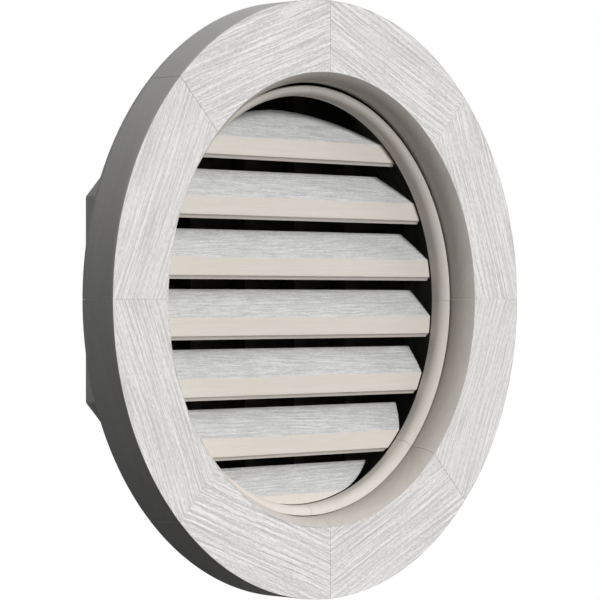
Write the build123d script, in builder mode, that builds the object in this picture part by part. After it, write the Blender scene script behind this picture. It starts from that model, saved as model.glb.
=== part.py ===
from build123d import *

import os
from math import cos, radians, sin, sqrt, tan

# Round gable vent with a flat trim frame, in millimetres.
# X runs to the right seen from the front, Y runs from the front into the wall, Z is up.
# The origin is the centre of the vent on the wall plane, where the trim's back face lies.

# Trim ring: flat mitred segments with an eased inner edge and a rebate behind it
ring_count = 8
trim_diameter = 736.6
trim_thickness = 51.5
bore_diameter = 537.0
ease_width = 11.5
ease_depth = 25.4
shoulder_depth = 40.0
rebate_width = 13.5

# Bead ring: a quarter round standing in the trim's bore, on a flange in the rebate
bead_width = 12.0
bead_setback = 31.0
bead_gap = 1.2
flange_gap = 0.7
louvre_drop = 1.3

# Louvre slats: sloping boards with a plumb face, cut off round at both ends
slat_count = 7
slat_pitch = 73.3
slat_slope = 45.0
slat_thickness = 23.0
slat_face = 22.4
slat_depth = 34.3
top_slat_extra = 5.1
middle_slat_height = -20.2
slat_setback = 1.3
slat_end_gap = 0.8
end_cut_fall = 20.3

# Upright battens behind the slats, in pairs about the middle, notched to carry them
batten_offsets = (45.0, 140.0)
batten_thickness = 19.0
batten_back = 10.0
notch_lead = 1.6

# Octagonal box that goes into the wall, with the backing board let into its rear edge
box_sides = 8
box_setback = 7.6
board_thickness = 19.0
backing_thickness = 6.0
backing_rebate = 9.5
backing_gap = 0.3

# Flat-headed nails that hold the backing board
nails_per_side = 2
nail_spacing = 120.0
nail_length = 25.0
nail_radius = 1.4
nail_head_radius = 3.3
nail_head_thickness = 1.0
nail_gap = 0.15

# Worked-out places
front_y = -trim_thickness
shoulder_y = front_y + shoulder_depth
bead_front_y = front_y + bead_setback
slat_front_y = slat_setback
slope = radians(slat_slope)
cut_fall = radians(end_cut_fall)
top_slat_depth = slat_depth + top_slat_extra
batten_front_y = slat_front_y + top_slat_depth + notch_lead
batten_rear_y = slat_front_y + top_slat_depth + slat_thickness * sin(slope) + batten_back
box_depth = batten_rear_y + backing_thickness

# Worked-out radii
trim_radius = trim_diameter / 2
bore_radius = bore_diameter / 2
face_radius = bore_radius + ease_width
rebate_radius = bore_radius + rebate_width
bead_radius = bore_radius - louvre_drop - bead_gap
bead_opening_radius = bead_radius - bead_width
flange_radius = rebate_radius - louvre_drop - flange_gap
slat_radius = bead_opening_radius - slat_end_gap
box_inner = bore_radius + box_setback
box_outer = box_inner + board_thickness
backing_seat = box_inner + backing_rebate
ring_step = 360 / ring_count
box_step = 360 / box_sides


def radial_plane(angle, centre_z=0.0):
    """A plane through the vent's axis: its x runs outwards at the angle, its y runs into the wall."""
    turn = radians(angle)
    return Plane(origin=(0, 0, centre_z), x_dir=(cos(turn), 0, sin(turn)), z_dir=(-sin(turn), 0, cos(turn)))


def flat_plane(angle, depth):
    """A plane square to the vent's axis: its y runs outwards at the angle, its z into the wall."""
    turn = radians(angle)
    return Plane(origin=(0, depth, 0), x_dir=(-sin(turn), 0, cos(turn)), z_dir=(0, 1, 0))


def export(part, name):
    """Label a finished piece and write it under the same name."""
    part.label = name
    export_step(part, f"parts/{name}.step")


os.makedirs("parts", exist_ok=True)

# The eased edge is one arc that leaves the face at an angle and runs into the bore without a corner
ease_radius = (ease_depth**2 + ease_width**2) / (2 * ease_width)
ease_middle_y = ease_depth / 2
ease_middle = bore_radius + ease_radius - sqrt(ease_radius**2 - (ease_depth - ease_middle_y) ** 2)

# Trim segments, numbered clockwise from the top joint as seen from the front
for number in range(1, ring_count + 1):
    first_angle = 90 - ring_step * number
    with BuildPart() as trim_segment:
        with BuildSketch(radial_plane(first_angle)):
            with BuildLine():
                Polyline(
                    (bore_radius, front_y + ease_depth),
                    (bore_radius, shoulder_y),
                    (rebate_radius, shoulder_y),
                    (rebate_radius, 0),
                    (trim_radius, 0),
                    (trim_radius, front_y),
                    (face_radius, front_y),
                )
                ThreePointArc(
                    (face_radius, front_y),
                    (ease_middle, front_y + ease_middle_y),
                    (bore_radius, front_y + ease_depth),
                )
            make_face()
        revolve(axis=Axis((0, 0, 0), (0, -1, 0)), revolution_arc=ring_step)
    export(trim_segment.part, f"trim_segment_{number}")

# Bead segments: the quarter round faces the front, and the flange bears on the trim's shoulder
for number in range(1, ring_count + 1):
    first_angle = 90 - ring_step * number
    with BuildPart() as bead_segment:
        with BuildSketch(radial_plane(first_angle, -louvre_drop)):
            with BuildLine():
                Polyline(
                    (bead_opening_radius, bead_front_y + bead_width),
                    (bead_opening_radius, 0),
                    (flange_radius, 0),
                    (flange_radius, shoulder_y),
                    (bead_radius, shoulder_y),
                    (bead_radius, bead_front_y),
                )
                CenterArc((bead_radius, bead_front_y + bead_width), bead_width, start_angle=180, arc_size=90)
            make_face()
        revolve(axis=Axis((0, 0, -louvre_drop), (0, -1, 0)), revolution_arc=ring_step)
    export(bead_segment.part, f"bead_segment_{number}")


def slat_height(number):
    """Height of a slat's front top edge; slat 1 is the top one."""
    steps_down = number - (slat_count + 1) / 2
    return middle_slat_height - louvre_drop - slat_pitch * steps_down


def slat_section(number):
    """Corners of a slat's section: front top, rear top, rear bottom, lip and foot of the plumb face."""
    depth = top_slat_depth if number == 1 else slat_depth
    base = slat_height(number)
    lip = slat_thickness - slat_face * cos(slope)
    rear_top = (slat_front_y + depth, base + depth * tan(slope))
    rear_bottom = (rear_top[0] + slat_thickness * sin(slope), rear_top[1] - slat_thickness * cos(slope))
    face_foot = (slat_front_y, base - slat_face)
    lip_foot = (face_foot[0] + lip * sin(slope), face_foot[1] - lip * cos(slope))
    return (slat_front_y, base), rear_top, rear_bottom, lip_foot, face_foot


# Louvre slats: one section, cut off by a round opening whose axis falls towards the rear
cut_length = (batten_rear_y - slat_front_y) / cos(cut_fall)
for number in range(1, slat_count + 1):
    with BuildPart() as louvre_slat:
        with BuildSketch(Plane.YZ):
            with BuildLine():
                Polyline(*slat_section(number), close=True)
            make_face()
        extrude(amount=slat_radius, both=True)
        with BuildSketch(flat_plane(0, slat_front_y)):
            with Locations((-louvre_drop, 0)):
                Circle(slat_radius)
        extrude(amount=cut_length, dir=(0, cos(cut_fall), -sin(cut_fall)), mode=Mode.INTERSECT)
    export(louvre_slat.part, f"louvre_slat_{number}")


def batten_outline(reach, slats):
    """Side view of a batten: straight at the back, with a notch for each slat that it carries."""
    outline = [(batten_rear_y, -reach), (batten_front_y, -reach)]
    for number in reversed(slats):
        rear_bottom = slat_section(number)[2]
        under = rear_bottom[1] - (rear_bottom[0] - batten_front_y) * tan(slope)
        over = rear_bottom[1] + (rear_bottom[0] - batten_front_y) / tan(slope)
        outline += [(batten_front_y, under), rear_bottom, (batten_front_y, over)]
    outline += [(batten_front_y, reach), (batten_rear_y, reach)]
    return outline


def slat_reach(number):
    """Half the length of a slat along its rear edges, the longer of the two."""
    lengths = [0.0]
    for depth_y, height in slat_section(number)[1:3]:
        fall = (depth_y - slat_front_y) * tan(cut_fall)
        from_axis = height + louvre_drop + fall
        if abs(from_axis) < slat_radius:
            lengths.append(sqrt(slat_radius**2 - from_axis**2))
    return max(lengths)


# Upright battens from box board to box board, numbered from the left as seen from the front
batten_places = sorted([-offset for offset in batten_offsets] + list(batten_offsets))
for number, offset in enumerate(batten_places, start=1):
    near_side = abs(offset) - batten_thickness / 2
    met = [k for k in range(1, slat_count + 1) if slat_reach(k) > near_side]
    with BuildPart() as back_batten:
        with BuildSketch(Plane.YZ.offset(offset)):
            with BuildLine():
                Polyline(*batten_outline(box_inner, met), close=True)
            make_face()
        extrude(amount=batten_thickness / 2, both=True)
        with BuildSketch(Plane.XZ):
            RegularPolygon(box_inner, box_sides, major_radius=False, rotation=box_step / 2)
        extrude(amount=-box_depth, mode=Mode.INTERSECT)
    export(back_batten.part, f"back_batten_{number}")


def board_outline(inner, outer):
    """Corners of one side of the box, seen along the vent's axis, mitred at both ends."""
    lean = tan(radians(box_step / 2))
    return (-inner * lean, inner), (inner * lean, inner), (outer * lean, outer), (-outer * lean, outer)


nail_offsets = [nail_spacing * (k - (nails_per_side - 1) / 2) for k in range(nails_per_side)]
nail_line = box_inner + backing_rebate / 2
nail_hole_radius = nail_radius + nail_gap
nail_hole_depth = nail_length - backing_thickness + nail_gap

# Box boards, numbered clockwise from the top as seen from the front
for number in range(1, box_sides + 1):
    angle = 90 - box_step * (number - 1)
    with BuildPart() as box_board:
        with BuildSketch(flat_plane(angle, 0)):
            with BuildLine():
                Polyline(*board_outline(box_inner, box_outer), close=True)
            make_face()
        extrude(amount=box_depth)
        with BuildSketch(flat_plane(angle, batten_rear_y)):
            with BuildLine():
                Polyline(*board_outline(box_inner, backing_seat), close=True)
            make_face()
        extrude(amount=backing_thickness, mode=Mode.SUBTRACT)
        with Locations(flat_plane(angle, batten_rear_y)):
            with Locations(*[(offset, nail_line) for offset in nail_offsets]):
                Hole(nail_hole_radius, depth=nail_hole_depth)
    export(box_board.part, f"box_board_{number}")

# Backing board that closes the rear of the box
with BuildPart() as backing_board:
    with BuildSketch(flat_plane(0, batten_rear_y)):
        RegularPolygon(backing_seat - backing_gap, box_sides, major_radius=False, rotation=box_step / 2)
    extrude(amount=backing_thickness)
    for side in range(box_sides):
        with Locations(flat_plane(box_step * side, box_depth)):
            with Locations(*[(offset, nail_line) for offset in nail_offsets]):
                Hole(nail_hole_radius, depth=backing_thickness)
export(backing_board.part, "backing_board")

# Nails through the backing board into the box, all alike, as separate solids
with BuildPart() as backing_nails:
    for side in range(box_sides):
        turn = radians(box_step * side)
        for offset in nail_offsets:
            across = nail_line * cos(turn) - offset * sin(turn)
            up = nail_line * sin(turn) + offset * cos(turn)
            with BuildSketch(Plane(origin=(across, box_depth, up), x_dir=(1, 0, 0), z_dir=(0, 0, 1))):
                with BuildLine():
                    Polyline(
                        (0, nail_head_thickness),
                        (nail_head_radius, nail_head_thickness),
                        (nail_head_radius, 0),
                        (nail_radius, 0),
                        (nail_radius, -nail_length),
                        (0, -nail_length),
                        close=True,
                    )
                make_face()
            revolve(axis=Axis((across, box_depth, up), (0, 1, 0)))
export(backing_nails.part, "backing_nails")
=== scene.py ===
import math

import bmesh
import bpy
import numpy as np
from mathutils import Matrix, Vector, noise


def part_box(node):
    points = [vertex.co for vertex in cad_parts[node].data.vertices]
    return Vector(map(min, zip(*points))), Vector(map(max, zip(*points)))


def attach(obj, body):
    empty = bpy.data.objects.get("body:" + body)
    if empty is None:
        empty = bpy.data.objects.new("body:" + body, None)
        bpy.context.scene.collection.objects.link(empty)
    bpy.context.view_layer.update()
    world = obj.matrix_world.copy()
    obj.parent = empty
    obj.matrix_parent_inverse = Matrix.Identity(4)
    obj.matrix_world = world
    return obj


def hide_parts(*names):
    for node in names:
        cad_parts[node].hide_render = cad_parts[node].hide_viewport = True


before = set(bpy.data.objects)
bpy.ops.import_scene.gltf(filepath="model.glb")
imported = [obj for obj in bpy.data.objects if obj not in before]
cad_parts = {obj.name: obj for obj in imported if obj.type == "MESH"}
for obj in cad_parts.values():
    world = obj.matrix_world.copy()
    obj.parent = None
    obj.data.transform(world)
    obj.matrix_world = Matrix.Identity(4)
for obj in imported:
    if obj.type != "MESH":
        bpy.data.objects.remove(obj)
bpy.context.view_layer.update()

# Camera: the vent is seen level with its middle, from its front left, through a long lens.
# Its place and direction were solved from the rims of the ring.
camera_place = Vector((-2.6019, -2.4099, -0.0006))
camera_tilt = math.radians(90)
camera_turn = math.radians(47.1945)
camera_lens = 171.08
camera_reach = 50.0

camera = bpy.data.objects.new("camera", bpy.data.cameras.new("camera"))
camera.data.lens = camera_lens
camera.data.clip_end = camera_reach
camera.location = camera_place
camera.rotation_euler = (camera_tilt, 0, -camera_turn)
bpy.context.scene.collection.objects.link(camera)
bpy.context.scene.camera = camera

# Floor: a wide pale floor well below the vent, which hangs at its own height. To a lens or a shiny
# surface it is partly plain white, a little over half under the vent, where the shadow falls, and
# wholly further out. The light that it throws back up is weak.
floor_height = -0.72
floor_radius = 3.2
floor_corners = 96
floor_white_from = 1.0
floor_white_to = 2.2
floor_paleness = 0.55
floor_colour = (0.8, 0.8, 0.79, 1)
floor_glow = (0.02, 0.02, 0.02, 1)
floor_roughness = 0.9
floor_shine = 0.1
plain_white = (1, 1, 1, 1)


def new_paint(name, roughness, shine):
    """A material of that roughness and shine, with its node tree and its shader."""
    material = bpy.data.materials.new(name)
    material.use_nodes = True
    paint = material.node_tree.nodes["Principled BSDF"]
    paint.inputs["Roughness"].default_value = roughness
    paint.inputs["Specular IOR Level"].default_value = shine
    return material, material.node_tree, paint


def joined(tree, operation, *values):
    """Sockets and plain numbers, joined by a math operation."""
    node = tree.nodes.new("ShaderNodeMath")
    node.operation = operation
    for socket, value in zip(node.inputs, values):
        if isinstance(value, float):
            socket.default_value = value
        else:
            tree.links.new(value, socket)
    return node.outputs["Value"]


def ranged(tree, value, low, high, least=0.0, smooth=False):
    """A value scaled so that low gives the least and high gives 1, and held between them."""
    scale = tree.nodes.new("ShaderNodeMapRange")
    if smooth:
        scale.interpolation_type = "SMOOTHSTEP"
    scale.inputs["From Min"].default_value = low
    scale.inputs["From Max"].default_value = high
    scale.inputs["To Min"].default_value = least
    tree.links.new(value, scale.inputs["Value"])
    return scale.outputs["Result"]


def colour_between(tree, share, first, last):
    """The colour between two, at the share that a socket gives."""
    mix = tree.nodes.new("ShaderNodeMix")
    mix.data_type = "RGBA"
    mix.inputs["A"].default_value = first
    mix.inputs["B"].default_value = last
    tree.links.new(share, mix.inputs["Factor"])
    return mix.outputs["Result"]


def send_between(tree, share, first, last, out):
    """Sends out the mix of two shaders, at the share that a socket gives."""
    mix = tree.nodes.new("ShaderNodeMixShader")
    tree.links.new(share, mix.inputs["Fac"])
    tree.links.new(first, mix.inputs[1])
    tree.links.new(last, mix.inputs[2])
    tree.links.new(mix.outputs["Shader"], out.inputs["Surface"])


def looked_at(tree):
    """1 where a lens, a shiny surface or a clear one looks, and 0 for light that falls on other things."""
    path = tree.nodes.new("ShaderNodeLightPath")
    seen = joined(tree, "MAXIMUM", path.outputs["Is Camera Ray"], path.outputs["Is Glossy Ray"])
    return joined(tree, "MAXIMUM", seen, path.outputs["Is Transmission Ray"])


bpy.ops.mesh.primitive_circle_add(
    vertices=floor_corners, radius=floor_radius, fill_type="NGON", location=(0, 0, floor_height)
)
floor = bpy.context.object
floor.name = "floor"
floor_paint, tree, matt = new_paint("floor paint", floor_roughness, floor_shine)
looked = looked_at(tree)
tree.links.new(colour_between(tree, looked, floor_glow, floor_colour), matt.inputs["Base Color"])
place = tree.nodes.new("ShaderNodeNewGeometry")
from_centre = tree.nodes.new("ShaderNodeVectorMath")
from_centre.operation = "LENGTH"
tree.links.new(place.outputs["Position"], from_centre.inputs[0])
distance = from_centre.outputs["Value"]
paleness = ranged(tree, distance, floor_white_from, floor_white_to, least=floor_paleness, smooth=True)
white = tree.nodes.new("ShaderNodeEmission")
white.inputs["Color"].default_value = plain_white
share = joined(tree, "MULTIPLY", looked, paleness)
send_between(tree, share, matt.outputs["BSDF"], white.outputs["Emission"], tree.nodes["Material Output"])
floor.data.materials.append(floor_paint)

# Light: soft distant lamps, each with its angle to the right, its height and its spread in degrees, and
# its strength, under a weak sky. The sky is plain white wherever a lens or a shiny surface looks at it.
lamps = {
    "key": (4, 23, 18, 2.3),
    "side": (60, 30, 24, 0.88),
    "fill": (-70, 5, 24, 0.06),
}
sky_top = (0.27, 0.27, 0.27, 1)
sky_bottom = (0.0, 0.0, 0.0, 1)

for name, (side, height, spread, strength) in lamps.items():
    light = bpy.data.lights.new(name, "SUN")
    light.angle = math.radians(spread)
    light.energy = strength
    lamp = bpy.data.objects.new(name, light)
    lamp.rotation_euler = (math.radians(90 - height), 0, math.radians(side))
    bpy.context.scene.collection.objects.link(lamp)

world = bpy.data.worlds.new("sky")
bpy.context.scene.world = world
world.use_nodes = True
tree = world.node_tree
tree.nodes.clear()
direction = tree.nodes.new("ShaderNodeTexCoord")
split = tree.nodes.new("ShaderNodeSeparateXYZ")
tree.links.new(direction.outputs["Generated"], split.inputs["Vector"])
upwards = ranged(tree, split.outputs["Z"], -1.0, 1.0)
sky = tree.nodes.new("ShaderNodeBackground")
tree.links.new(colour_between(tree, upwards, sky_bottom, sky_top), sky.inputs["Color"])
backdrop = tree.nodes.new("ShaderNodeBackground")
backdrop.inputs["Color"].default_value = plain_white
out = tree.nodes.new("ShaderNodeOutputWorld")
send_between(tree, looked_at(tree), sky.outputs["Background"], backdrop.outputs["Background"], out)
bpy.context.scene.view_settings.view_transform = "Standard"

# Trim ring: eight flat timber segments, mitred together, with the grain of each one along its chord.
# The face is left rough from the saw, the inner edge is eased and smooth, and a rebate behind it
# takes the bead ring. It is primed off-white; the rebate and the bore wall behind the bead's front are
# painted near-black, a painted shadow in the groove round the bead.
trim_low, trim_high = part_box("trim_segment_2")
ring_count = 8
ring_step = 2 * math.pi / ring_count
trim_radius = trim_high.x
bore_radius = trim_low.x / math.cos(ring_step)
trim_front = trim_low.y
ease_width = 0.0115
ease_depth = 0.0254
shoulder_depth = 0.040
rebate_width = 0.0135
# Depth of the band of the bore wall, behind the bead's front, that is painted near-black as painted shadow
shadow_band_depth = 0.0065
edge_round = 0.0006
seam_inset = 0.0005
seam_gap = 0.00006

# How finely the trim is divided
trim_columns = 190
face_spacing = 0.0009
curve_points = 16
corner_points = 4
bore_rows = 2
edge_rows = 8
weld_distance = 1e-6
sharp_from = math.radians(28)

# Sawn grain: how it runs, how its ridges stand, and the step between the seeds of two segments
trim_seed_step = 5.3
grain_slant = 0.04
grain_bend = 0.003
grain_ripple = 0.0007
ridge_height = 0.0003
ridge_spacing = 0.0078
ridge_length = 0.1
ridge_stray = 0.8
ridge_width = 0.6
broad_share = 0.7
fine_spacing = 0.2
fine_layer = 23
strength_least = 0.1
strength_middle = 0.6
strength_swing = 1.1
torn_share = 0.5

# Random patches that the grain follows: length along it, width across it, and layer of the noise
bend_patch = (0.12, 0.04, 0)
ripple_patch = (0.016, 0.012, 5)
stray_patch = (0.2, 0.03, 11)
strength_patch = (0.06, 0.03, 37)
torn_patch = (0.004, 0.0022, 51)

# Primer: colours, and the length and width of its streaks and fibres
sawn_colour = (0.91, 0.895, 0.88)
sawn_shade = (0.62, 0.61, 0.60)
bore_colour = (0.575, 0.535, 0.495)
bore_shade = (0.545, 0.505, 0.465)
edge_colour = (0.69, 0.685, 0.67)
edge_shade = (0.66, 0.65, 0.64)
# Near-black paint for the groove between trim and bead: painted shadow where only shade falls
groove_shadow_colour = (0.02, 0.018, 0.016)
groove_shadow_dark = (0.014, 0.013, 0.012)
sawn_grain = {"streak": (0.09, 0.0018), "fibre": (0.006, 0.0009), "depth": 0.0006}
planed_grain = {"streak": (0.2, 0.006), "fibre": (0.03, 0.002), "depth": 0.00004}
blotch_size = (0.05, 0.03)
grain_detail = 2.0
blotch_detail = 3.0
pattern_roughness = 0.6
pattern_distortion = 0.3
fibre_weight = 0.8
blotch_weight = 0.1
relief_weight = 0.5
shade_from = 0.78
shade_to = 1.12
# How strongly the sawn face's colour is darker in its furrows and lighter on its ridges: painted shade and
# highlight
sawn_ridge_shading = 0.12
sawn_roughness = 0.85
planed_roughness = 0.7
edge_shine = 0.05
black_roughness = 0.9
black_shine = 0.02


def patchy(along, across, seed, patch):
    """Soft random patches, from about -1 to 1."""
    length, width, layer = patch
    return noise.noise((along / length, across / width, seed + layer))


def wander(along, across, seed):
    """How far the grain strays sideways at a place, in metres."""
    bend = grain_bend * patchy(along, across, seed, bend_patch)
    ripple = grain_ripple * patchy(along, across, seed, ripple_patch)
    return grain_slant * math.sin(seed) * along + bend + ripple


def ridges(along, line, seed, spacing, length):
    """How high a sawn face stands, mostly from -1 to 1: broad ridges, finer ones and torn fibres."""
    stray = ridge_stray * patchy(along, line, seed, stray_patch)
    away = math.sin(math.pi * (line / spacing + stray)) / ridge_width
    broad = 2 * math.exp(-(away**2)) - 1
    fine = patchy(along, line, seed, (length, fine_spacing * spacing, fine_layer))
    strength = strength_middle + strength_swing * patchy(along, line, seed, strength_patch)
    torn = patchy(along, line, seed, torn_patch)
    return max(strength_least, strength) * (broad_share * broad + fine) + torn_share * torn


def arc(centre, radius, start, end, points):
    """Points on an arc, from start to end in degrees."""
    angles = np.radians(np.linspace(start, end, points))
    return [(centre[0] + radius * math.cos(a), centre[1] + radius * math.sin(a)) for a in angles]


def run(first, last, rows):
    """Points on a straight line, without its two ends."""
    shares = np.linspace(0, 1, rows + 2)[1:-1]
    return [(first[0] + (last[0] - first[0]) * s, first[1] + (last[1] - first[1]) * s) for s in shares]


def inwards(outline):
    """For each corner of a closed outline, the direction that points into it."""
    after = np.roll(outline, -1, axis=0)
    ahead = after - outline
    ahead /= np.linalg.norm(ahead, axis=1)[:, None]
    along = ahead + np.roll(ahead, 1, axis=0)
    along /= np.linalg.norm(along, axis=1)[:, None]
    area = np.sum(outline[:, 0] * after[:, 1] - after[:, 0] * outline[:, 1])
    side = 1 if area > 0 else -1
    return np.stack([-along[:, 1], along[:, 0]], axis=1) * side


def stations(half, bevel, count):
    """Places from -half to half: one at each end, and even steps between the bevels."""
    return np.concatenate([[-half], np.linspace(-half + bevel, half - bevel, count), [half]])


def mitred_angles(radius, count):
    """Angles across a ring segment, from its middle, with a fine bevel at each mitre."""
    return stations(ring_step / 2 - seam_gap / radius, seam_inset / radius, count)


def section_at(outline, inset, at, count):
    """The points of a section, drawn in by the inset at the two ends of a piece."""
    return outline + inset if at in (0, count - 1) else outline.copy()


def segment_middle(number):
    """Angle of a ring segment's middle. They are numbered clockwise from the top joint."""
    return math.pi / 2 - ring_step * (number - 0.5)


def turned(profile, turn, centre=0.0):
    """The points of a section, turned about the vent's axis or one at another height."""
    right = profile[:, 0] * math.cos(turn)
    up = centre + profile[:, 0] * math.sin(turn)
    return np.stack([right, profile[:, 1], up], 1)


def grain_at(along, line, seed):
    """The grain's own places for the points of a section: along it, across it and which board it is."""
    return np.stack([along, line, np.full(len(line), seed)], 1)


def closed_piece(name, columns, finish, materials, grain, relief=None, caps=None):
    """A closed mesh through columns of points, with a finish for each strip and a cap at each end."""
    columns = np.array(columns)
    count, ring = columns.shape[:2]
    index = np.arange(count * ring).reshape(count, ring)
    after = np.roll(index, -1, axis=1)
    quads = np.stack([index[:-1], after[:-1], after[1:], index[1:]], axis=-1).reshape(-1, 4).tolist()
    ends = caps or [index[0].tolist(), index[-1].tolist()]
    mesh = bpy.data.meshes.new(name)
    mesh.from_pydata(columns.reshape(-1, 3).tolist(), [], quads + ends)
    for material in materials:
        mesh.materials.append(material)
    finishes = np.concatenate([np.tile(finish, count - 1), np.full(len(ends), finish[-1])])
    mesh.polygons.foreach_set("material_index", finishes)
    held = mesh.attributes.new("grain", "FLOAT_VECTOR", "POINT")
    held.data.foreach_set("vector", np.array(grain).reshape(-1).astype(np.float32))
    held = mesh.attributes.new("relief", "FLOAT", "POINT")
    heights = np.zeros((count, ring)) if relief is None else relief
    held.data.foreach_set("value", heights.reshape(-1).astype(np.float32))
    piece = bpy.data.objects.new(name, mesh)
    bpy.context.scene.collection.objects.link(piece)
    welded = bmesh.new()
    welded.from_mesh(mesh)
    bmesh.ops.remove_doubles(welded, verts=welded.verts, dist=weld_distance)
    bmesh.ops.recalc_face_normals(welded, faces=welded.faces)
    welded.to_mesh(mesh)
    welded.free()
    mesh.polygons.foreach_set("use_smooth", np.ones(len(mesh.polygons), bool))
    mesh.set_sharp_from_angle(angle=sharp_from)
    return piece


def embossed(tree, paint, height, depth):
    """Gives a paint a fine relief of that depth."""
    bump = tree.nodes.new("ShaderNodeBump")
    bump.inputs["Strength"].default_value = 1.0
    bump.inputs["Distance"].default_value = depth
    tree.links.new(height, bump.inputs["Height"])
    tree.links.new(bump.outputs["Normal"], paint.inputs["Normal"])


def primed_timber(name, light, dark, roughness, streak, fibre, depth, shine=0.2, ridge_shading=0.0):
    """Paint over timber, with streaks along the grain, finer fibres, soft blotches, a fine relief, and
    painted shade in its furrows and painted highlight on its ridges.
    """
    material, tree, paint = new_paint(name, roughness, shine)
    grain = tree.nodes.new("ShaderNodeAttribute")
    grain.attribute_name = "grain"
    ridge = tree.nodes.new("ShaderNodeAttribute")
    ridge.attribute_name = "relief"

    def pattern(size, detail):
        """Noise stretched to that length along the grain and that width across it."""
        stretch = tree.nodes.new("ShaderNodeMapping")
        stretch.inputs["Scale"].default_value = (1 / size[0], 1 / size[1], 1)
        tree.links.new(grain.outputs["Vector"], stretch.inputs["Vector"])
        waves = tree.nodes.new("ShaderNodeTexNoise")
        waves.inputs["Scale"].default_value = 1.0
        waves.inputs["Detail"].default_value = detail
        waves.inputs["Roughness"].default_value = pattern_roughness
        waves.inputs["Distortion"].default_value = pattern_distortion
        tree.links.new(stretch.outputs["Vector"], waves.inputs["Vector"])
        return waves.outputs["Fac"]

    streaks = pattern(streak, grain_detail)
    fibres = pattern(fibre, grain_detail)
    blotches = pattern(blotch_size, blotch_detail)
    both = joined(tree, "MULTIPLY_ADD", fibres, fibre_weight, streaks)
    spread = joined(tree, "MULTIPLY_ADD", blotches, blotch_weight, both)
    # Painted shade and highlight: the colour follows the relief, darker in the furrows and lighter on the
    # ridges
    ridge_shaded = joined(tree, "MULTIPLY_ADD", ridge.outputs["Fac"], ridge_shading, spread)
    share = ranged(tree, ridge_shaded, shade_from, shade_to)
    tree.links.new(colour_between(tree, share, (*dark, 1), (*light, 1)), paint.inputs["Base Color"])
    embossed(tree, paint, joined(tree, "MULTIPLY_ADD", fibres, relief_weight, streaks), depth)
    return material


ease_radius = (ease_depth**2 + ease_width**2) / (2 * ease_width)
ease_turn = math.degrees(math.asin(ease_depth / ease_radius))
ease_foot = trim_front + ease_depth
face_radius = bore_radius + ease_width
rebate_radius = bore_radius + rebate_width
shoulder = trim_front + shoulder_depth
shadow_band_front = shoulder - shadow_band_depth
face_rows = round((trim_radius - face_radius) / face_spacing)
outline = arc((trim_radius - edge_round, trim_front + edge_round), edge_round, 0, -90, corner_points)
face_from = len(outline) - 1
outline += run((trim_radius - edge_round, trim_front), (face_radius, trim_front), face_rows)
face_to = len(outline)
outline += arc((bore_radius + ease_radius, ease_foot), ease_radius, 180 + ease_turn, 180, curve_points)
outline += run((bore_radius, ease_foot), (bore_radius, shadow_band_front), bore_rows)
bore_to = len(outline)
outline += [(bore_radius, shadow_band_front), (bore_radius, shoulder), (rebate_radius, shoulder)]
rebate_to = len(outline)
outline += [(rebate_radius, 0)]
outline += arc((trim_radius - edge_round, -edge_round), edge_round, 90, 0, corner_points)
outline += run((trim_radius, -edge_round), (trim_radius, trim_front + edge_round), edge_rows)
outline = np.array(outline)
trim_inset = inwards(outline) * seam_inset

sawn_primer = primed_timber(
    "sawn primer", sawn_colour, sawn_shade, sawn_roughness, **sawn_grain, ridge_shading=sawn_ridge_shading
)
bore_primer = primed_timber("bore primer", bore_colour, bore_shade, planed_roughness, **planed_grain)
edge_primer = primed_timber(
    "edge primer", edge_colour, edge_shade, planed_roughness, **planed_grain, shine=edge_shine
)
groove_shadow_paint = primed_timber(
    "groove shadow paint", groove_shadow_colour, groove_shadow_dark, black_roughness, **planed_grain, shine=black_shine
)
trim_paints = [sawn_primer, bore_primer, edge_primer, groove_shadow_paint]
trim_finish = np.full(len(outline), trim_paints.index(edge_primer))
trim_finish[:bore_to] = trim_paints.index(bore_primer)
# Painted shadow: the deep bore wall, the shoulder and the rebate are painted near-black
trim_finish[bore_to:rebate_to] = trim_paints.index(groove_shadow_paint)
trim_finish[face_from:face_to] = trim_paints.index(sawn_primer)

for number in range(1, ring_count + 1):
    seed = number * trim_seed_step
    angles = mitred_angles(trim_radius, trim_columns)
    columns = []
    grain = []
    relief = np.zeros((len(angles), len(outline)))
    for at, angle in enumerate(angles):
        profile = section_at(outline, trim_inset, at, len(angles))
        along = profile[:, 0] * math.sin(angle)
        across = profile[:, 0] * math.cos(angle)
        line = across + profile[:, 1] - trim_front
        for k in range(face_from, face_to):
            line[k] += wander(along[k], across[k], seed)
            relief[at, k] = ridges(along[k], line[k], seed, ridge_spacing, ridge_length)
            profile[k, 1] += ridge_height * (1 - relief[at, k])
        columns.append(turned(profile, segment_middle(number) + angle))
        grain.append(grain_at(along, line, seed))
    segment = closed_piece(f"trim_face_{number}", columns, trim_finish, trim_paints, grain, relief)
    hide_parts(f"trim_segment_{number}")
    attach(segment, "root")

# Bead ring: eight lengths of quarter-round moulding, sanded and primed, with their joints on the
# mitres of the trim. Each stands on a flange that is held in the trim's rebate; the flange's faces in the
# groove are painted near-black, a painted shadow.
bead_low, bead_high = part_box("bead_segment_2")
bead_centre = bead_low.z
flange_radius = bead_high.x
bead_opening = bead_low.x / math.cos(ring_step)
bead_front = bead_low.y
bead_width = 0.012
bead_round = 0.0005
bead_columns = 48
bead_rows = 3
bead_corner_points = 3
bead_seed_step = 3.1
bead_colour = (0.68, 0.64, 0.59)
bead_shade = (0.65, 0.61, 0.56)
bead_grain = {"streak": (0.12, 0.004), "fibre": (0.03, 0.0016), "depth": 0.00005}
bead_roughness = 0.6

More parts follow.
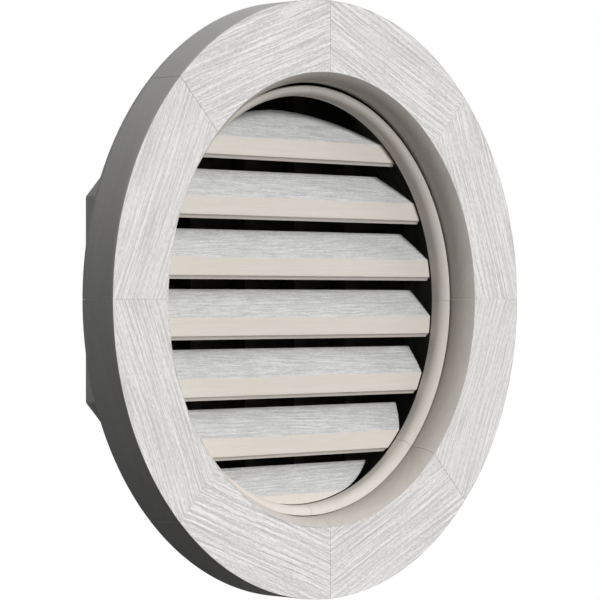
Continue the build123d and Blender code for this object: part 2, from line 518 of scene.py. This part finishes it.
bead_radius = bead_opening + bead_width
crest_foot = bead_front + bead_width
outline = arc((bead_radius, crest_foot), bead_width, 270, 180, curve_points)
outline += run((bead_opening, crest_foot), (bead_opening, -bead_round), bead_rows)
outline += arc((bead_opening + bead_round, -bead_round), bead_round, 180, 90, bead_corner_points)
flange_from = len(outline)
outline += [(flange_radius, 0), (flange_radius, shoulder), (bead_radius, shoulder)]
outline = np.array(outline)
bead_inset = inwards(outline) * seam_inset

bead_primer = primed_timber("bead primer", bead_colour, bead_shade, bead_roughness, **bead_grain)
bead_paints = [bead_primer, groove_shadow_paint]
bead_finish = np.full(len(outline), bead_paints.index(bead_primer))
# Painted shadow: the flange's faces in the groove are painted near-black
bead_finish[flange_from : flange_from + 2] = bead_paints.index(groove_shadow_paint)

for number in range(1, ring_count + 1):
    angles = mitred_angles(bead_radius, bead_columns)
    columns = []
    grain = []
    for at, angle in enumerate(angles):
        profile = section_at(outline, bead_inset, at, len(angles))
        columns.append(turned(profile, segment_middle(number) + angle, bead_centre))
        along = np.full(len(profile), bead_radius * angle)
        grain.append(grain_at(along, profile[:, 0] + profile[:, 1], number * bead_seed_step))
    segment = closed_piece(f"bead_{number}", columns, bead_finish, bead_paints, grain)
    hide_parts(f"bead_segment_{number}")
    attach(segment, "root")

# Louvre slats: seven timber boards, sloping up at 45 degrees towards the back, with a plumb planed face
# and a rough sawn top, which is coarser from slat to slat downwards. Their ends are cut off round, in
# one slanting cut, to stand just inside the bead.
slat_low, slat_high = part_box("louvre_slat_4")
slat_count = 7
middle_slat = 4
slat_pitch = slat_high.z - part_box("louvre_slat_5")[1].z
slat_front = slat_low.y
slat_radius = slat_high.x
slat_lean = math.sqrt(0.5)        # the sine and the cosine of that slope
slat_depth = 0.0343
top_slat_depth = 0.0394
slat_thickness = 0.023
slat_face = 0.0224
slat_round = 0.0008
round_share = 0.3
cove_depth = 0.0006
cut_fall = math.tan(math.radians(20.3))
end_inset = 0.0004
inset_fade = 0.01
middle_height = slat_high.z - slat_depth

# How finely the slats are divided
slat_column = 0.0021
slat_spacing = 0.0009
plain_spacing = 0.006
least_rows = 5

# Grain and primer of the slats
slat_seed_step = 7.7
slat_ridge_spacing = 0.0065
slat_ridge_length = 0.032
slat_grain_first = 0.7
slat_grain_growth = 0.13
slat_top_colour = (0.68, 0.68, 0.675)
slat_top_shade = (0.485, 0.485, 0.485)
slat_face_colour = (0.72, 0.675, 0.615)
slat_face_shade = (0.69, 0.645, 0.585)
slat_top_grain = {"streak": (0.036, 0.0022), "fibre": (0.006, 0.0010), "depth": 0.0006}
slat_face_grain = {"streak": (0.1, 0.004), "fibre": (0.03, 0.0016), "depth": 0.00005}
# How strongly the slat tops' colour is darker in their furrows and lighter on their ridges: painted shade
# and highlight
slat_top_ridge_shading = 0.08
slat_face_roughness = 0.6


def rounded(corners, radius):
    """The start, middle and end of a small round at each corner of a section."""
    bends = []
    for k, corner in enumerate(corners):
        before = Vector(corners[k - 1]) - Vector(corner)
        after = Vector(corners[(k + 1) % len(corners)]) - Vector(corner)
        turn = before.angle(after)
        back = min(radius / math.tan(turn / 2), round_share * before.length, round_share * after.length)
        start = Vector(corner) + before.normalized() * back
        end = Vector(corner) + after.normalized() * back
        middle = (start + end + 2 * Vector(corner)) / 4
        bends.append([tuple(start), tuple(middle), tuple(end)])
    return bends


def over_axis(depth, height):
    """Height of a place in a section over the axis of the slanting round cut."""
    return height + cut_fall * (depth - slat_front) - bead_centre


def clip(corners, side):
    """The part of a section that lies inside the round cut: side 1 for its top, -1 for its bottom."""
    kept = []
    for k, corner in enumerate(corners):
        follow = corners[(k + 1) % len(corners)]
        here = slat_radius - side * over_axis(*corner)
        there = slat_radius - side * over_axis(*follow)
        if here >= 0:
            kept.append(corner)
        if here * there < 0:
            share = here / (here - there)
            depth = corner[0] + (follow[0] - corner[0]) * share
            height = corner[1] + (follow[1] - corner[1]) * share
            kept.append((depth, height))
    return kept


def slat_section(number):
    """Corners of a slat's section, cut off at the top and the bottom slat, and the two ends of its lip."""
    base = middle_height + slat_pitch * (middle_slat - number)
    depth = top_slat_depth if number == 1 else slat_depth
    drop = slat_thickness * slat_lean
    lip = (slat_thickness - slat_face * slat_lean) * slat_lean
    rear_top = (slat_front + depth, base + depth)
    rear_foot = (rear_top[0] + drop, rear_top[1] - drop)
    face_foot = (slat_front, base - slat_face)
    lip_foot = (slat_front + lip, face_foot[1] - lip)
    corners = [(slat_front, base), rear_top, rear_foot, lip_foot, face_foot]
    if number == 1:
        corners = clip(corners, 1)
    if number == slat_count:
        corners = clip(corners, -1)
    return corners, (lip_foot, face_foot)


def slat_outline(corners, lip):
    """Points around a slat with its sawn top first and its lip hollowed, and the finish of each strip."""
    outline = []
    finish = []
    bends = rounded(corners, slat_round)
    for k, bend in enumerate(bends):
        after = (k + 1) % len(bends)
        is_top = k == 0
        length = math.dist(bend[2], bends[after][0])
        rows = round(length / slat_spacing) if is_top else max(least_rows, round(length / plain_spacing))
        side = run(bend[2], bends[after][0], rows)
        if (corners[k], corners[after]) == lip:
            curve = [4 * (row + 1) * (rows - row) / (rows + 1) ** 2 for row in range(rows)]
            hollow = [cove_depth * slat_lean * height for height in curve]
            side = [(y + deep, z + deep) for (y, z), deep in zip(side, hollow)]
        outline += bend + side
        side_finish = slat_paints.index(slat_top if is_top else slat_plain)
        finish += [slat_paints.index(slat_plain)] + [side_finish] * (len(bend) + len(side) - 1)
    return np.array(outline), np.array(finish)


def zip_cap(ring, level):
    """Triangles that close the end of a slat, between the two sides of its outline."""
    order = [int(k) for k in np.argsort(level)]
    low, high = order[0], order[-1]
    count = len(ring)
    one = [(low + k) % count for k in range((high - low) % count + 1)]
    two = [(low - k) % count for k in range((low - high) % count + 1)]
    faces = []
    i = j = 0
    while i < len(one) - 1 or j < len(two) - 1:
        if j == len(two) - 1 or (i < len(one) - 1 and level[one[i + 1]] <= level[two[j + 1]]):
            corners = [one[i], two[j], one[i + 1]]
            i += 1
        else:
            corners = [one[i], two[j], two[j + 1]]
            j += 1
        face = [ring[k] for k in dict.fromkeys(corners)]
        if len(face) == 3:
            faces.append(face)
    return faces


slat_top = primed_timber(
    "slat top", slat_top_colour, slat_top_shade, sawn_roughness, **slat_top_grain, ridge_shading=slat_top_ridge_shading
)
slat_plain = primed_timber(
    "slat face", slat_face_colour, slat_face_shade, slat_face_roughness, **slat_face_grain
)
slat_paints = [slat_top, slat_plain]
into_slope = slat_lean * np.array([1, -1])

for number in range(1, slat_count + 1):
    seed = number * slat_seed_step
    coarseness = slat_grain_first + slat_grain_growth * (number - 1)
    outline, finish = slat_outline(*slat_section(number))
    level = over_axis(outline[:, 0], outline[:, 1])
    reach = np.sqrt(np.maximum(slat_radius**2 - level**2, 0))
    inset = inwards(outline) * end_inset * np.minimum(reach / inset_fade, 1)[:, None]
    shares = stations(1, end_inset / reach.max(), round(2 * reach.max() / slat_column))
    walked = np.concatenate([[0], np.cumsum(np.linalg.norm(np.diff(outline, axis=0), axis=1))])
    columns = []
    grain = []
    relief = np.zeros((len(shares), len(outline)))
    for at, share in enumerate(shares):
        profile = section_at(outline, inset, at, len(shares))
        along = share * reach
        line = walked.copy()
        for k in np.flatnonzero(finish == slat_paints.index(slat_top)):
            line[k] += wander(along[k], walked[k], seed)
            height = ridges(along[k], line[k], seed, slat_ridge_spacing, slat_ridge_length)
            relief[at, k] = height * coarseness
            profile[k] += ridge_height * (1 - relief[at, k]) * into_slope
        columns.append(np.stack([along, profile[:, 0], profile[:, 1]], 1))
        grain.append(grain_at(along, line, seed))
    first = np.arange(len(outline))
    last = first + (len(shares) - 1) * len(outline)
    caps = zip_cap(first.tolist(), level) + zip_cap(last.tolist(), level)
    slat = closed_piece(f"slat_{number}", columns, finish, slat_paints, grain, relief, caps)
    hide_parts(f"louvre_slat_{number}")
    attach(slat, "root")

# Box: eight mitred boards behind the trim, primed outside and painted black inside, so that only
# darkness shows between the slats. Their rear edges are rebated for the backing board.
board_low, board_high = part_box("box_board_1")
box_sides = 8
box_step = 2 * math.pi / box_sides
box_lean = math.tan(box_step / 2)
box_outer = board_high.z
box_inner = board_low.z
box_depth = board_high.y
backing_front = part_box("backing_board")[0].y
backing_rebate = 0.0095
board_round = 0.0006
board_columns = 24
board_rows = 6
board_corner_points = 3
board_seed_step = 2.9
board_colour = (0.74, 0.74, 0.72)
board_shade = (0.70, 0.70, 0.68)
black_colour = (0.105, 0.103, 0.098)
black_shade = (0.08, 0.078, 0.074)
board_grain = {"streak": (0.15, 0.005), "fibre": (0.03, 0.002), "depth": 0.0001}
board_roughness = 0.75

front_corner = (box_outer - board_round, board_round)
rear_corner = (box_outer - board_round, box_depth - board_round)
outline = arc(front_corner, board_round, -90, 0, board_corner_points)
outline += run((box_outer, board_round), (box_outer, box_depth - board_round), board_rows)
outline += arc(rear_corner, board_round, 0, 90, board_corner_points)
outside = len(outline) + 1
seat = box_inner + backing_rebate
outline += [(seat, box_depth), (seat, backing_front), (box_inner, backing_front), (box_inner, 0)]
outline = np.array(outline)
board_inset = inwards(outline) * seam_inset

board_primer = primed_timber("board primer", board_colour, board_shade, board_roughness, **board_grain)
black_paint = primed_timber(
    "black paint", black_colour, black_shade, black_roughness, **board_grain, shine=black_shine
)
board_paints = [board_primer, black_paint]
board_finish = np.full(len(outline), board_paints.index(black_paint))
board_finish[:outside] = board_paints.index(board_primer)
shares = stations(1, 2 * seam_inset / (box_outer * box_lean), board_columns)

for number in range(1, box_sides + 1):
    turn = box_step * (number - 1)
    columns = []
    grain = []
    for at, share in enumerate(shares):
        profile = section_at(outline, board_inset, at, len(shares))
        along = share * (profile[:, 0] * box_lean - seam_gap)
        right = along * math.cos(turn) + profile[:, 0] * math.sin(turn)
        up = profile[:, 0] * math.cos(turn) - along * math.sin(turn)
        columns.append(np.stack([right, profile[:, 1], up], 1))
        grain.append(grain_at(along, profile[:, 0] + profile[:, 1], number * board_seed_step))
    board = closed_piece(f"box_side_{number}", columns, board_finish, board_paints, grain)
    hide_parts(f"box_board_{number}")
    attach(board, "root")

# Battens and backing board: plain timber inside the box, painted black. The battens carry the slats in
# notches, and the board is let into the rear of the box.
batten_count = 4
inner_colour = (0.046, 0.042, 0.038)
inner_shade = (0.026, 0.024, 0.022)
inner_cloud = 0.01
cloud_detail = 6.0
tooth_depth = 0.0002


def plain_paint(name, light, dark, roughness, shine, cloud):
    """Paint or plating that has no grain to follow: soft clouds of that size, with a fine tooth."""
    material, tree, paint = new_paint(name, roughness, shine)
    place = tree.nodes.new("ShaderNodeTexCoord")
    clouds = tree.nodes.new("ShaderNodeTexNoise")
    clouds.inputs["Scale"].default_value = 1 / cloud
    clouds.inputs["Detail"].default_value = cloud_detail
    tree.links.new(place.outputs["Object"], clouds.inputs["Vector"])
    colour = colour_between(tree, clouds.outputs["Fac"], (*dark, 1), (*light, 1))
    tree.links.new(colour, paint.inputs["Base Color"])
    embossed(tree, paint, clouds.outputs["Fac"], tooth_depth)
    return material


def painted_over(node, material):
    """Gives a CAD piece one material in place of its own."""
    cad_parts[node].data.materials.clear()
    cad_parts[node].data.materials.append(material)


inner_black = plain_paint(
    "inner black", inner_colour, inner_shade, black_roughness, black_shine, inner_cloud
)
for node in [f"back_batten_{k}" for k in range(1, batten_count + 1)] + ["backing_board"]:
    painted_over(node, inner_black)

# Nails: flat-headed wire nails of zinc-plated steel, two in each side of the backing board. They are
# driven through it into the rear edges of the box.
zinc_colour = (0.55, 0.56, 0.58)
zinc_shade = (0.42, 0.43, 0.45)
zinc_roughness = 0.45
zinc_shine = 0.5
zinc_cloud = 0.002

zinc = plain_paint("zinc", zinc_colour, zinc_shade, zinc_roughness, zinc_shine, zinc_cloud)
zinc.node_tree.nodes["Principled BSDF"].inputs["Metallic"].default_value = 1.0
painted_over("backing_nails", zinc)
